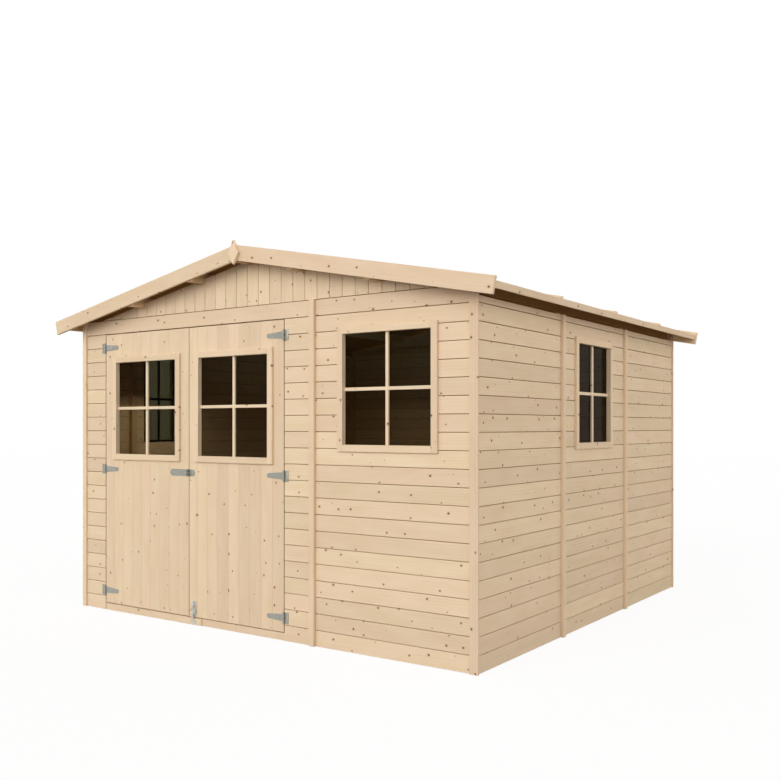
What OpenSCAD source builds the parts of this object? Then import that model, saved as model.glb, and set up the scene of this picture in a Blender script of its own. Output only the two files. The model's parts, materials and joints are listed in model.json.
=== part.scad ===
// Wooden garden shed of clapboard panels, with a low gabled roof and a pair of glazed doors.
// Millimetres. Z is up from the ground, Y runs from the front to the back, and the origin
// is on the ground at the middle of the plan.

/* [Walls] */
// Width over the cladding, side to side
wall_w = 2996; // [2700:1:3300]
// Depth over the cladding, front to back
wall_d = 2934; // [2700:1:3300]
// Cover height of one cladding board
board_pitch = 90; // [86:1:96]
// Rows of cladding boards from the ground to the eave
board_rows = 21; // [21:1:23]
// Distance of the top of the side walls below the roof boards
eave_slot = 18; // [5:1:30]
// Thickness of the cladding boards
clad_t = 16; // [12:1:22]
// Depth of the studs and plates behind the cladding
stud_t = 28; // [20:1:45]
// Width of a stud, and height of a top plate
stud_w = 45; // [30:1:60]
// Distance of the back panel joints from the middle
back_joint_x = 498; // [400:1:600]
// Distance of the side panel joints from the middle
side_joint_y = 490; // [400:1:600]

/* [Trims] */
// Thickness of the corner trims
trim_t = 12; // [8:1:20]
// Width of a right corner trim
trim_w = 50; // [40:1:70]
// Width of a left corner trim
left_trim_w = 34; // [32:1:60]
// Reach of the corner trims past the side cladding
trim_reach = 11; // [5:1:14]
// Width of a cover batten over a panel joint
batten_w = 36; // [30:1:60]
// Thickness of the cover battens
batten_t = 18; // [10:1:25]

/* [Floor] */
// Thickness of the floor boards
floor_t = 16; // [12:1:28]
// Height of the bearers under the floor
bearer_h = 26; // [20:1:60]
// Width of a bearer
bearer_w = 45; // [30:1:80]
// Number of bearers
bearer_count = 5; // [3:1:8]
// Distance of the outer bearers from the side cladding
bearer_inset = 60; // [20:1:120]
// Depth of the door sill
sill_w = 45; // [30:1:80]
// Distance of the sill behind the front of the cladding
sill_setback = 4; // [0:1:12]
// Thickness of the kick board on the sill
kick_t = 8; // [6:1:9]
// Distance of the kick board's left end from the doorway
kick_inset = 13; // [4:1:40]
// Length of the kick board
kick_len = 882; // [870:1:1200]

/* [Doorway] */
// Width of the wall between the left corner and the doorway
doorway_left = 212; // [180:1:300]
// Width of the doorway
doorway_w = 1555; // [1480:1:1600]
// Width of the wall between the doorway and the front panel joint
doorway_right = 206; // [160:1:260]
// Distance of the meeting edges right of the middle of the doorway
meeting_offset = 10; // [0:1:20]
// Clearance of the door leaves at the jambs, head, sill and meeting edge
door_gap = 6; // [6:0.5:10]
// Thickness of the door boards
door_t = 16; // [12:1:16]
// Height of a ledge on the back of a door
ledge_h = 70; // [50:1:90]
// Thickness of a ledge
ledge_t = 28; // [16:1:40]
// Distance of the ledges from the edges of the leaf
ledge_inset = 25; // [20:1:45]
// Height of the lowest ledge above the bottom of the leaf
ledge_bottom = 60; // [40:1:120]

/* [Windows] */
// Width of the opening in the front wall
window_w = 555; // [440:1:580]
// Width of the opening in the right wall
right_window_w = 495; // [400:1:600]
// Width of the opening in the left wall
left_window_w = 250; // [200:1:400]
// Height of the openings in the walls
window_h = 588; // [500:1:620]
// Bottom of the wall windows above the ground
wall_window_z = 1100; // [1000:1:1140]
// Bottom of the door windows above the ground
door_window_z = 1020; // [960:1:1080]
// Distance of the door windows below the top of their leaf
door_window_drop = 186; // [170:1:220]
// Distance of the door windows from the hinged edge of their leaf
door_window_inset = 115; // [100:1:140]
// Mean distance of the door windows from the meeting edges
door_window_margin = 98.5; // [85:0.5:130]
// Middle of the front window, right of the middle of its panel
front_window_shift = -23; // [-60:1:60]
// Middle of the right window, behind the middle of the shed
right_window_y = -27; // [-60:1:60]
// Middle of the left window, behind the middle of the shed
left_window_y = -847; // [-1000:1:-760]
// Distance of the stud in front of the left window from its opening
left_stud_gap = 95; // [40:1:120]
// Width of the frame boards round an opening
frame_w = 37; // [25:1:50]
// Thickness of the frame boards
frame_t = 14; // [8:1:20]
// Thickness of the panes
glass_t = 4; // [3:1:6]
// Lap of a pane behind the edge of its opening
glass_lap = 12; // [6:1:20]

/* [Roof] */
// Pitch of the roof, in degrees
roof_pitch = 11.24; // [9:0.01:14]
// Thickness of the roof boards
deck_t = 16; // [12:1:22]
// Fit of the roof boards on the walls, and of the pieces fixed to the roof boards
roof_fit = 0.2; // [0.1:0.05:0.5]
// Reach of the roof boards past the side cladding, on the level
eave_reach = 124; // [90:1:180]
// Reach of the barge boards in front of the cladding
gable_reach = 116; // [60:1:160]
// Height of the barge boards, square to the slope
barge_h = 87; // [70:1:120]
// Thickness of the barge boards
barge_t = 18; // [12:1:25]
// Height of the barge boards above the roof boards
barge_lift = 19; // [10:1:30]
// Reach of the barge boards past the eave strips
barge_end = 12; // [5:1:40]
// Height of the eave strips
eave_h = 35; // [20:1:60]
// Thickness of the eave strips
eave_t = 18; // [12:1:25]
// Spacing of the battens on the roof
roof_batten_pitch = 790; // [600:1:900]
// Width of a roof batten
roof_batten_w = 45; // [30:1:60]
// Height of a roof batten
roof_batten_h = 12; // [10:1:22]
// Distance of a roof batten from the ridge, and from the end of the eave strip
roof_batten_inset = 12; // [5:1:60]
// Width of a purlin
purlin_w = 42; // [30:1:60]
// Height of a purlin
purlin_h = 60; // [40:1:80]
// Distance of the upper purlins from the ridge
upper_purlin_x = 390; // [250:1:480]
// Distance of the lower purlins from the ridge
lower_purlin_x = 920; // [700:1:1000]

/* [Finials] */
// Width of a finial at its shoulders
finial_w = 78; // [50:1:110]
// Height of a finial
finial_h = 141; // [100:1:160]
// Height of its tip above its shoulders
finial_shoulder = 76; // [50:1:90]
// Height of its tip above the barge boards
finial_rise = 26; // [10:1:45]
// Thickness of a finial
finial_t = 18; // [10:1:25]

/* [Door hinges] */
// Clearance of the hinge plate round the edge of the swinging leaf
hinge_relief = 1; // [0.5:0.1:2]
// Height of the lowest hinges above the ground
low_hinge_z = 128; // [100:1:200]
// Distance of the middle hinges below the door windows
middle_hinge_drop = 100; // [90:1:160]
// Distance of the top hinges above the door windows
top_hinge_rise = 100; // [90:1:120]
// Height of the hinge plate on the wall
hinge_plate_h = 64; // [54:1:80]
// Reach of the hinge plate past the pin
hinge_plate_w = 33; // [18:1:40]
// Thickness of the hinge plate and the strap
hinge_t = 2; // [1.5:0.1:3]
// Distance of the hinge pin in front of the cladding
hinge_pin_out = 6; // [6:0.1:8]
// Radius of the knuckles
knuckle_r = 5; // [4.5:0.1:5.5]
// Radius of the hinge pin
hinge_pin_r = 2.5; // [2:0.1:3]
// Radial clearance of the hinge pin
pin_clearance = 0.08; // [0.05:0.01:0.1]
// Height of the strap at the knuckle
strap_h = 43; // [30:1:46]
// Height of the strap at its tip
strap_tip_h = 28; // [16:1:30]
// Step in on each side where the strap runs into its round tip
strap_neck = 0.6; // [0.3:0.1:3]
// Reach of the strap past the middle of the pin, where it is rolled into the knuckle
strap_root = 1.5; // [1:0.1:2]
// Length of the strap from the pin
strap_len = 128; // [90:1:150]
// Clearance between the ends of the knuckles
knuckle_gap = 0.4; // [0.3:0.05:1]

/* [Padlock plates] */
// Distance of the padlock plates below the door windows
padlock_drop = 104; // [80:1:140]
// Height of a plate
padlock_h = 42; // [30:1:50]
// Length of the plate on the left door
padlock_left_len = 160; // [100:1:170]
// Length of the plate on the right door
padlock_right_len = 47; // [35:1:80]
// Thickness of the plates
padlock_t = 2; // [1.5:0.1:3]
// Reach of the lugs in front of the doors
lug_reach = 16; // [14:1:30]
// Radius of the shackle hole in a lug
shackle_r = 4.5; // [3:0.1:6]
// Distance of the plates from the meeting edge
padlock_inset = 2; // [1:0.5:6]

/* [Door bolt] */
// Distance of the bolt from the meeting edge of the right door
bolt_inset = 43; // [40:1:70]
// Distance of the rod's middle in front of the door
bolt_out = 14; // [14:0.5:20]
// Radius of the rod
bolt_r = 5; // [4:0.1:6]
// Radial clearance of the rod in its guides
bolt_clearance = 0.1; // [0.05:0.01:0.2]
// Height of the rod's tip above the ground, drawn up
bolt_tip_z = 33; // [31:1:40]
// Travel of the rod
bolt_travel = 25; // [20:1:28]
// Width of the back plate
bolt_plate_w = 34; // [28:1:45]
// Height of the back plate
bolt_plate_h = 92; // [84:1:110]
// Distance of the back plate above the bottom of the door
bolt_plate_up = 4; // [4:1:20]
// Thickness of the back plate
bolt_plate_t = 2; // [1.5:0.1:3]
// Height of a guide
guide_h = 14; // [10:1:16]
// Wall of a guide round the rod
guide_wall = 2; // [1.5:0.1:3]
// Radius of the knob
knob_r = 3; // [2:0.1:4]
// Clearance of the knob under the upper guide
knob_gap = 3; // [2:0.5:5]
// Reach of the knob in front of the rod
knob_reach = 12; // [8:1:20]
// Width of the keeper
keeper_w = 26; // [24:1:45]
// Thickness of the keeper's metal
keeper_t = 2; // [1.5:0.1:3]
// Height of the top of its tongue above the ground
keeper_z = 26; // [20:1:26]
// Height of its back plate
keeper_h = 22; // [20:1:30]
// Radial clearance of the rod in the keeper
keeper_clearance = 1.5; // [1:0.1:3]

/* [Hidden] */
$fn = 48;

spruce = "#e0c6a0";
trim_spruce = "#e3caa6";
roof_spruce = "#d8bd95";
floor_spruce = "#cfb48c";
zinc = "#a9aba8";
pane = "#3c3626";

// Overshoot of a cut past the face that it opens
cut = 1;

half_w = wall_w / 2;
half_d = wall_d / 2;
front_y = -half_d;
inner_w = half_w - clad_t;
inner_d = half_d - clad_t;
wall_h = board_pitch * board_rows;
header_z = wall_h - board_pitch;
floor_top = bearer_h + floor_t;
plate_z = wall_h - stud_w;

door_x0 = -half_w + doorway_left;
door_x1 = door_x0 + doorway_w;
front_joint_x = door_x1 + doorway_right;
front_window_x = (front_joint_x + half_w) / 2 + front_window_shift;
mean_leaf_w = (doorway_w - 3 * door_gap) / 2;
left_leaf_w = mean_leaf_w + meeting_offset;
right_leaf_w = mean_leaf_w - meeting_offset;
left_leaf_x = door_x0 + door_gap;
right_leaf_x = left_leaf_x + left_leaf_w + door_gap;
door_window_w = mean_leaf_w - door_window_inset - door_window_margin;
leaf_window_inset = door_window_inset + door_window_w / 2;
left_leaf_window_x = left_leaf_x + leaf_window_inset;
right_leaf_window_x = right_leaf_x + right_leaf_w - leaf_window_inset;
leaf_z0 = floor_top + door_gap;
leaf_z1 = header_z - door_gap;
door_window_top = leaf_z1 - door_window_drop;
door_window_h = door_window_top - door_window_z;
hinge_heights = [low_hinge_z, door_window_z - middle_hinge_drop, door_window_top + top_hinge_rise];
padlock_z = door_window_z - padlock_drop;
hinge_y = front_y - hinge_pin_out;
left_hinge_x = door_x0 + door_gap / 2;
right_hinge_x = door_x1 - door_gap / 2;
sill_y = front_y + sill_setback;
kick_x = door_x0 + kick_inset;

slope = tan(roof_pitch);
roof_end_y = half_d + gable_reach;
deck_end_y = roof_end_y - barge_t;
ridge_z = under_deck(0);
deck_len = (half_w + eave_reach) / cos(roof_pitch);
deck_top_w = roof_fit + deck_t;
eave_x = deck_len + roof_fit;
barge_len = eave_x + eave_t + barge_end;
barge_top_w = deck_top_w + barge_lift;
barge_apex_z = ridge_z + barge_top_w / cos(roof_pitch);
side_wall_h = wall_h - eave_slot;
left_stud_y = left_window_y - left_window_w / 2 - left_stud_gap - stud_w / 2;
corner_trim_h = under_deck(half_w + trim_reach);

knuckle_h = strap_h;
end_knuckle_h = (hinge_plate_h - knuckle_h) / 2 - knuckle_gap;
plate_relief = norm([door_gap / 2, hinge_pin_out]) + hinge_relief;

bolt_x = right_leaf_x + bolt_inset;
bolt_y = front_y - bolt_out;
bolt_plate_z = leaf_z0 + bolt_plate_up;
guide_w = 2 * (bolt_r + bolt_clearance + guide_wall);
bolt_top_z = bolt_plate_z + bolt_plate_h;
upper_guide_z = bolt_top_z - bolt_travel - guide_h;
knob_z = upper_guide_z - knob_gap - knob_r;

// Height that the roof boards rest on at a distance x from the ridge
function under_deck(x) = wall_h + (half_w - x) * slope;

module block(lo, hi) {
    translate(lo) cube(hi - lo);
}

// A child on the right, and its mirror image on the left
module both_sides() {
    children();
    mirror([1, 0, 0]) children();
}

// A child at the front, and its mirror image at the back
module both_ends() {
    children();
    mirror([0, 1, 0]) children();
}

// An outline of X across and Z up, as a slab from y0 to y1
module upright(y0, y1) {
    translate([0, y1, 0]) rotate([90, 0, 0]) linear_extrude(y1 - y0) children();
}

// Local X runs down the right slope from the ridge, and local Z is square to it from what the boards rest on
module on_slope() {
    translate([0, 0, ridge_z]) rotate([0, roof_pitch, 0]) children();
}

// The opening, frame and pane of a window that faces the front, from the middle of its sill
module window_cut(w, h) {
    block([-w / 2, -cut, 0], [w / 2, max(clad_t, door_t) + cut, h]);
}

module window_frame(w, h) {
    difference() {
        block([-w / 2 - frame_w, -frame_t, -frame_w], [w / 2 + frame_w, 0, h + frame_w]);
        block([-w / 2, -frame_t - cut, 0], [w / 2, cut, h]);
    }
}

module window_pane(w, h, depth) {
    block([-w / 2 - glass_lap, depth, -glass_lap],
          [w / 2 + glass_lap, depth + glass_t, h + glass_lap]);
}

// Places of the windows in the three walls
module at_front_window() { translate([front_window_x, front_y, wall_window_z]) children(); }

module at_right_window() {
    translate([half_w, right_window_y, wall_window_z]) rotate([0, 0, 90]) children();
}

module at_left_window() {
    translate([-half_w, left_window_y, wall_window_z]) rotate([0, 0, -90]) children();
}

// Floor

module floor_bearers() {
    span = 2 * (half_w - bearer_inset) - bearer_w;
    color(floor_spruce)
    for (i = [0 : bearer_count - 1])
        translate([-span / 2 + i * span / (bearer_count - 1) - bearer_w / 2, sill_y + sill_w, 0])
            cube([bearer_w, inner_d - sill_y - sill_w, bearer_h]);
}

module floor_boards() {
    color(floor_spruce)
    difference() {
        block([-inner_w, -inner_d, bearer_h], [inner_w, inner_d, floor_top]);
        block([door_x0, -inner_d - cut, bearer_h - cut], [door_x1, sill_y + sill_w, floor_top + cut]);
    }
}

module door_sill() {
    color(floor_spruce) block([door_x0, sill_y, 0], [door_x1, sill_y + sill_w, floor_top]);
}

module kick_board() {
    color(trim_spruce) block([kick_x, sill_y - kick_t, 0], [kick_x + kick_len, sill_y, floor_top]);
}

// Wall frame

module stud(x, y, w, d) {
    translate([x - w / 2, y - d / 2, floor_top]) cube([w, d, plate_z - floor_top]);
}

module wall_studs() {
    end_y = inner_d - stud_t / 2;
    color(spruce) {
        both_sides() both_ends() stud(inner_w - stud_w / 2, end_y, stud_w, stud_t);
        both_sides() both_ends() stud(inner_w - stud_t / 2, side_joint_y, stud_t, stud_w);
        both_sides() stud(back_joint_x, end_y, stud_w, stud_t);
        stud(stud_t / 2 - inner_w, left_stud_y, stud_t, stud_w);
        for (x = [door_x0 - stud_w / 2, door_x1 + stud_w / 2, front_joint_x])
            stud(x, -end_y, stud_w, stud_t);
    }
}

module side_plates() {
    x0 = inner_w - stud_t;
    color(spruce) both_sides()
        upright(stud_t - inner_d, inner_d - stud_t)
            polygon([[x0, plate_z], [inner_w, plate_z],
                     [inner_w, under_deck(inner_w)], [x0, under_deck(x0)]]);
}

module end_plates() {
    color(spruce) both_ends() block([-inner_w, inner_d - stud_t, plate_z], [inner_w, inner_d, wall_h]);
}

// Walls

module front_wall_beside_door() {
    color(spruce) {
        block([-inner_w, front_y, 0], [door_x0, -inner_d, header_z]);
        block([door_x1, front_y, 0], [front_joint_x, -inner_d, header_z]);
    }
}

module front_wall_header() {
    color(spruce) block([-inner_w, front_y, header_z], [front_joint_x, -inner_d, wall_h]);
}

module front_wall_window() {
    color(spruce) difference() {
        block([front_joint_x, front_y, 0], [inner_w, -inner_d, wall_h]);
        at_front_window() window_cut(window_w, window_h);
    }
}

module back_wall() {
    color(spruce) block([-inner_w, inner_d, 0], [inner_w, half_d, wall_h]);
}

module right_wall_plain() {
    color(spruce) both_ends() block([inner_w, side_joint_y, 0], [half_w, half_d, side_wall_h]);
}

module right_wall_window() {
    color(spruce) difference() {
        block([inner_w, -side_joint_y, 0], [half_w, side_joint_y, side_wall_h]);
        at_right_window() window_cut(right_window_w, window_h);
    }
}

module left_wall_plain() {
    color(spruce) block([-half_w, -side_joint_y, 0], [-inner_w, half_d, side_wall_h]);
}

module left_wall_window() {
    color(spruce) difference() {
        block([-half_w, -half_d, 0], [-inner_w, -side_joint_y, side_wall_h]);
        at_left_window() window_cut(left_window_w, window_h);
    }
}

// A gable of upright boards, notched over the purlins
module gable() {
    upright(front_y, -inner_d) difference() {
        polygon([[-half_w, wall_h], [half_w, wall_h], [0, ridge_z]]);
        purlin_outlines();
    }
}

module front_gable() { color(spruce) gable(); }
module back_gable() { color(spruce) mirror([0, 1, 0]) gable(); }

// Flat boards over the ends of the side cladding
module corner_trims() {
    outer_x = half_w + trim_reach;
    color(trim_spruce) both_ends() {
        block([outer_x - trim_w, front_y - trim_t, 0], [outer_x, front_y, corner_trim_h]);
        block([-outer_x, front_y - trim_t, 0], [left_trim_w - outer_x, front_y, corner_trim_h]);
    }
}

module cover_battens() {
    color(trim_spruce) {
        translate([front_joint_x - batten_w / 2, front_y - batten_t, 0]) cube([batten_w, batten_t, wall_h]);
        both_sides() translate([back_joint_x - batten_w / 2, half_d, 0]) cube([batten_w, batten_t, wall_h]);
        both_sides() both_ends()
            translate([half_w, side_joint_y - batten_w / 2, 0]) cube([batten_t, batten_w, side_wall_h]);
    }
}

module window_frames() {
    color(trim_spruce) {
        at_front_window() window_frame(window_w, window_h);
        at_right_window() window_frame(right_window_w, window_h);
        at_left_window() window_frame(left_window_w, window_h);
    }
}

module window_glass() {
    color(pane) {
        at_front_window() window_pane(window_w, window_h, clad_t);
        at_right_window() window_pane(right_window_w, window_h, clad_t);
        at_left_window() window_pane(left_window_w, window_h, clad_t);
    }
}

// Roof

// Purlins stand upright, with their tops cut to the slope
module purlin_outlines() {
    for (side = [-1, 1], x = [upper_purlin_x, lower_purlin_x]) {
        x0 = x - purlin_w / 2;
        x1 = x + purlin_w / 2;
        z0 = under_deck(x) - purlin_h;
        polygon([[side * x0, z0], [side * x1, z0],
                 [side * x1, under_deck(x1)], [side * x0, under_deck(x0)]]);
    }
    r = purlin_w / 2;
    polygon([[-r, ridge_z - purlin_h], [r, ridge_z - purlin_h],
             [r, under_deck(r)], [0, ridge_z], [-r, under_deck(r)]]);
}

module purlins() {
    color(spruce) upright(-deck_end_y, deck_end_y) purlin_outlines();
}

// A board along the right slope from the mitre at the ridge, between heights w0 and w1 over the underside
module slope_outline(len, w0, w1) {
    z0 = ridge_z + w0 / cos(roof_pitch);
    z1 = ridge_z + w1 / cos(roof_pitch);
    end = [len * cos(roof_pitch), ridge_z - len * sin(roof_pitch)];
    square_up = [sin(roof_pitch), cos(roof_pitch)];
    polygon([[0, z0], end + w0 * square_up, end + w1 * square_up, [0, z1]]);
}

module roof_deck() { upright(-deck_end_y, deck_end_y) slope_outline(deck_len, roof_fit, deck_top_w); }
module roof_deck_right() { color(roof_spruce) roof_deck(); }
module roof_deck_left() { color(roof_spruce) mirror([1, 0, 0]) roof_deck(); }

module roof_battens() {
    len = eave_x + eave_t - 2 * roof_batten_inset;
    color(roof_spruce) both_sides() on_slope()
        for (i = [-1 : 1])
            translate([roof_batten_inset, i * roof_batten_pitch - roof_batten_w / 2, deck_top_w + roof_fit])
                cube([len, roof_batten_w, roof_batten_h]);
}

module eave_strips() {
    color(trim_spruce) both_sides() on_slope()
        translate([eave_x, -deck_end_y, deck_top_w - eave_h]) cube([eave_t, 2 * deck_end_y, eave_h]);
}

module barge_board() {
    both_ends() upright(-roof_end_y, -deck_end_y)
        slope_outline(barge_len, barge_top_w - barge_h, barge_top_w);
}

module barge_boards_right() { color(trim_spruce) barge_board(); }
module barge_boards_left() { color(trim_spruce) mirror([1, 0, 0]) barge_board(); }

module finials() {
    tip = barge_apex_z + finial_rise;
    color(trim_spruce) both_ends() upright(-roof_end_y - finial_t, -roof_end_y)
        polygon([[0, tip], [finial_w / 2, tip - finial_shoulder], [0, tip - finial_h],
                 [-finial_w / 2, tip - finial_shoulder]]);
}

// Hinges. Each has its pin on the Z axis and its middle at 0, and its strap runs towards side, 1 or -1

module hinge_plate(side) {
    plate_x = -side * hinge_plate_w / 2;
    difference() {
        union() {
            translate([plate_x, hinge_pin_out - hinge_t / 2, 0])
                cube([hinge_plate_w, hinge_t, hinge_plate_h], center = true);
            for (end = [-1, 1])
                translate([0, 0, end * (hinge_plate_h - end_knuckle_h) / 2])
                    cylinder(r = knuckle_r, h = end_knuckle_h, center = true);
        }
        cube([2 * plate_relief, 2 * plate_relief, knuckle_h + 2 * knuckle_gap], center = true);
    }
    cylinder(r = hinge_pin_r, h = hinge_plate_h, center = true);
}

module hinge_strap(side) {
    tip_r = strap_tip_h / 2;
    tip_x = side * (strap_len - tip_r);
    root_x = -side * strap_root;
    neck = tip_r - strap_neck;
    difference() {
        union() {
            cylinder(r = knuckle_r, h = knuckle_h, center = true);
            translate([0, hinge_pin_out, 0]) rotate([90, 0, 0]) linear_extrude(hinge_t) {
                polygon([[root_x, -strap_h / 2], [tip_x, -neck], [tip_x, neck], [root_x, strap_h / 2]]);
                translate([tip_x, 0]) circle(r = tip_r);
            }
        }
        cylinder(r = hinge_pin_r + pin_clearance, h = knuckle_h + cut, center = true);
    }
}

module at_hinges(x) {
    for (z = hinge_heights) translate([x, hinge_y, z]) children();
}

module hinge_plates() {
    color(zinc) {
        at_hinges(left_hinge_x) hinge_plate(1);
        at_hinges(right_hinge_x) hinge_plate(-1);
    }
}

// Doors

module at_leaf_window(x) {
    translate([x, front_y, door_window_z]) children();
}

module leaf_boards(x, w, window_x) {
    difference() {
        block([x, front_y, leaf_z0], [x + w, front_y + door_t, leaf_z1]);
        at_leaf_window(window_x) window_cut(door_window_w, door_window_h);
    }
}

// Three ledges across the back: at the bottom, under the window and over it
module leaf_ledges(x, w) {
    rows = [leaf_z0 + ledge_bottom, door_window_z - glass_lap - ledge_h, door_window_top + glass_lap];
    for (z = rows)
        translate([x + ledge_inset, front_y + door_t, z]) cube([w - 2 * ledge_inset, ledge_t, ledge_h]);
}

// A plate on the face of a leaf with an upstanding lug at its end, drawn with the lug at the origin
module padlock_plate(len) {
    tip_r = padlock_h / 2;
    rotate([90, 0, 0]) linear_extrude(padlock_t) {
        translate([-len + tip_r, -tip_r]) square([len - tip_r, padlock_h]);
        translate([-len + tip_r, 0]) circle(r = tip_r);
    }
    difference() {
        block([-padlock_t, -lug_reach, -padlock_h / 2], [0, 0, padlock_h / 2]);
        translate([-padlock_t / 2, -lug_reach / 2, 0]) rotate([0, 90, 0])
            cylinder(r = shackle_r, h = padlock_t + cut, center = true);
    }
}

module left_door_boards() {
    color(spruce) leaf_boards(left_leaf_x, left_leaf_w, left_leaf_window_x);
}

module left_door_ledges() { color(spruce) leaf_ledges(left_leaf_x, left_leaf_w); }

module left_door_window_frame() {
    color(trim_spruce) at_leaf_window(left_leaf_window_x) window_frame(door_window_w, door_window_h);
}

module left_door_glass() {
    color(pane) at_leaf_window(left_leaf_window_x) window_pane(door_window_w, door_window_h, door_t);
}

module left_door_hinge_straps() { color(zinc) at_hinges(left_hinge_x) hinge_strap(1); }

module left_door_padlock_plate() {
    color(zinc) translate([left_leaf_x + left_leaf_w - padlock_inset, front_y, padlock_z])
        padlock_plate(padlock_left_len);
}

module right_door_boards() {
    color(spruce) leaf_boards(right_leaf_x, right_leaf_w, right_leaf_window_x);
}

module right_door_ledges() { color(spruce) leaf_ledges(right_leaf_x, right_leaf_w); }

module right_door_window_frame() {
    color(trim_spruce) at_leaf_window(right_leaf_window_x) window_frame(door_window_w, door_window_h);
}

module right_door_glass() {
    color(pane) at_leaf_window(right_leaf_window_x) window_pane(door_window_w, door_window_h, door_t);
}

module right_door_hinge_straps() { color(zinc) at_hinges(right_hinge_x) hinge_strap(-1); }

module right_door_padlock_plate() {
    color(zinc) translate([right_leaf_x + padlock_inset, front_y, padlock_z])
        mirror([1, 0, 0]) padlock_plate(padlock_right_len);
}

// Bolt

module right_door_bolt_guide() {
    color(zinc) difference() {
        union() {
            block([bolt_x - bolt_plate_w / 2, front_y - bolt_plate_t, bolt_plate_z],
                  [bolt_x + bolt_plate_w / 2, front_y, bolt_top_z]);
            for (z = [bolt_plate_z, upper_guide_z])
                block([bolt_x - guide_w / 2, bolt_y - guide_w / 2, z],
                      [bolt_x + guide_w / 2, front_y - bolt_plate_t, z + guide_h]);
        }
        translate([bolt_x, bolt_y, 0]) cylinder(r = bolt_r + bolt_clearance, h = wall_h);
    }
}

module bolt_rod() {
    color(zinc) {
        translate([bolt_x, bolt_y, bolt_tip_z]) cylinder(r = bolt_r, h = bolt_top_z - bolt_tip_z);
        translate([bolt_x, bolt_y, knob_z]) rotate([90, 0, 0])
            cylinder(r = knob_r, h = bolt_r + knob_reach);
    }
}

module bolt_keeper() {
    kick_y = sill_y - kick_t;
    tongue_y = bolt_y - bolt_r - keeper_clearance - guide_wall;
    color(zinc) difference() {
        union() {
            block([bolt_x - keeper_w / 2, kick_y - keeper_t, keeper_z + keeper_t - keeper_h],
                  [bolt_x + keeper_w / 2, kick_y, keeper_z]);
            block([bolt_x - keeper_w / 2, tongue_y, keeper_z - keeper_t],
                  [bolt_x + keeper_w / 2, kick_y, keeper_z]);
        }
        translate([bolt_x, bolt_y, 0]) cylinder(r = bolt_r + keeper_clearance, h = floor_top);
    }
}

floor_bearers();
floor_boards();
door_sill();
kick_board();
wall_studs();
side_plates();
end_plates();
front_wall_beside_door();
front_wall_header();
front_wall_window();
front_gable();
right_wall_plain();
right_wall_window();
left_wall_plain();
left_wall_window();
back_wall();
back_gable();
corner_trims();
cover_battens();
window_frames();
window_glass();
purlins();
roof_deck_left();
roof_deck_right();
roof_battens();
eave_strips();
barge_boards_left();
barge_boards_right();
finials();
hinge_plates();
bolt_keeper();
left_door_boards();
left_door_ledges();
left_door_window_frame();
left_door_glass();
left_door_hinge_straps();
left_door_padlock_plate();
right_door_boards();
right_door_ledges();
right_door_window_frame();
right_door_glass();
right_door_hinge_straps();
right_door_padlock_plate();
right_door_bolt_guide();
bolt_rod();
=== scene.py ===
import json
import math
import random

import bmesh
import bpy
from mathutils import Matrix, Vector

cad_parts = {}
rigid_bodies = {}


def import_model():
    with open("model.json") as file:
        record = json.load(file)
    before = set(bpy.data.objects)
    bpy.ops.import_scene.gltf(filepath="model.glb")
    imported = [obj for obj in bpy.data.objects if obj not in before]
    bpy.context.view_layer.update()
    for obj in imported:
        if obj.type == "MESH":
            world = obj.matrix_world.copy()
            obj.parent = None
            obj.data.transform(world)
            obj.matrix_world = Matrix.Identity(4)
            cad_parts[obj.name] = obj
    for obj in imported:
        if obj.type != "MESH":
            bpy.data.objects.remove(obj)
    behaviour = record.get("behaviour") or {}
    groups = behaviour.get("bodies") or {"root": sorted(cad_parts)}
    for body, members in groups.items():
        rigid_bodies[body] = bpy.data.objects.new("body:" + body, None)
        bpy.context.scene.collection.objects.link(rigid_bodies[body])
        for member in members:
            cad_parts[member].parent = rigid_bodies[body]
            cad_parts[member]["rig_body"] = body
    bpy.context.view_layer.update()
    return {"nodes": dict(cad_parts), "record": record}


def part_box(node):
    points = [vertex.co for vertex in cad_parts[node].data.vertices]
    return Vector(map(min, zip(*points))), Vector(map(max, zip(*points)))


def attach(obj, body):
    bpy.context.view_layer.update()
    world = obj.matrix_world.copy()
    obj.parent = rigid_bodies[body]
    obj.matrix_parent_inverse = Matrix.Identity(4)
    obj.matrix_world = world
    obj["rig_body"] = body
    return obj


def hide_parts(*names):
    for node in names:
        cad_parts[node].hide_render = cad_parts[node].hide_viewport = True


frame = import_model()

# Bearers, sill and kick board
# Square spruce laid on the ground under the floor, with the sill under the doors and a kick board
# nailed to it. All of it is planed, so every edge is slightly eased.
MM = 0.001
EASED_EDGE = 1.5 * MM
# Points nearer than this are one, and faces that turn less than this are flat
CLOSE = 0.01 * MM
FLAT = math.radians(1)
X_AXIS = Vector((1, 0, 0))
Y_AXIS = Vector((0, 1, 0))
Z_AXIS = Vector((0, 0, 1))
SLOTS = {part["node"]: part["material_slot"] for part in frame["record"]["subparts"]}
scene = bpy.context.scene
# The seed is fixed, so every run saws the same boards, each from its own place in metres of grain
rng = random.Random(11)
LOG_SPAN = 30


def linear(hex_colour):
    """An sRGB hex colour as the linear colour that a shader takes."""
    channels = [int(hex_colour[i:i + 2], 16) / 255 for i in (1, 3, 5)]
    return [c / 12.92 if c <= 0.04045 else ((c + 0.055) / 1.055) ** 2.4 for c in channels] + [1.0]


def add(tree, kind, sockets=None, **settings):
    """Adds a shader node with its settings, and sets or links its input sockets."""
    node = tree.nodes.new("ShaderNode" + kind)
    for key, value in settings.items():
        setattr(node, key, value)
    for key, value in (sockets or {}).items():
        if isinstance(value, bpy.types.NodeSocket):
            tree.links.new(value, node.inputs[key])
        else:
            node.inputs[key].default_value = value
    return node


def bare_material(name):
    """A new material and its shader tree, with no nodes in it yet."""
    material = bpy.data.materials.new(name)
    material.use_nodes = True
    material.node_tree.nodes.clear()
    return material, material.node_tree


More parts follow.
